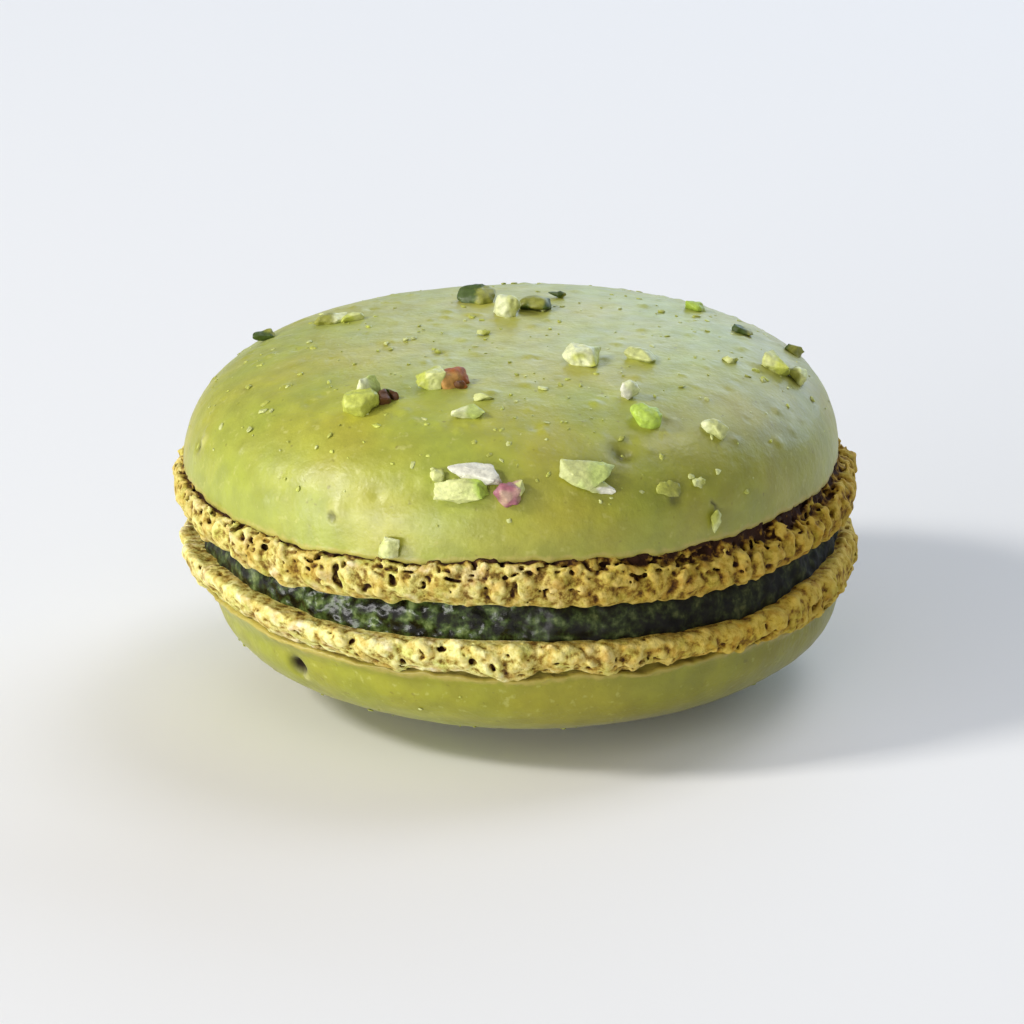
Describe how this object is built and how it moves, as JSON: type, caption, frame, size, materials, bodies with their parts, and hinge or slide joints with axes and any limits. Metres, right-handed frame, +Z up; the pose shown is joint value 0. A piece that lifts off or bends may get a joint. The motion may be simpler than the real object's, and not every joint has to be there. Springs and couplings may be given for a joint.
{
  "type": "french macaron",
  "caption": "Pistachio macaron: two domed almond shells with ruffled, porous feet closed on a layer of dark nut cream, with chopped nuts on top.",
  "frame": {"origin": "in the flat spot it rests on, under the middle of the cream", "axes": "+Z up through the upper dome, -Y towards the front"},
  "size_m": [0.047, 0.0465, 0.024],
  "materials": {
    "shell_skin": "satin",
    "foot_crumb": "matte",
    "cream": "gloss",
    "nut": "satin"
  },
  "bodies": {
    "root": {"shell_top": "shell_skin", "filling": "cream", "shell_bottom": "shell_skin"}
  },
  "joints": []
}
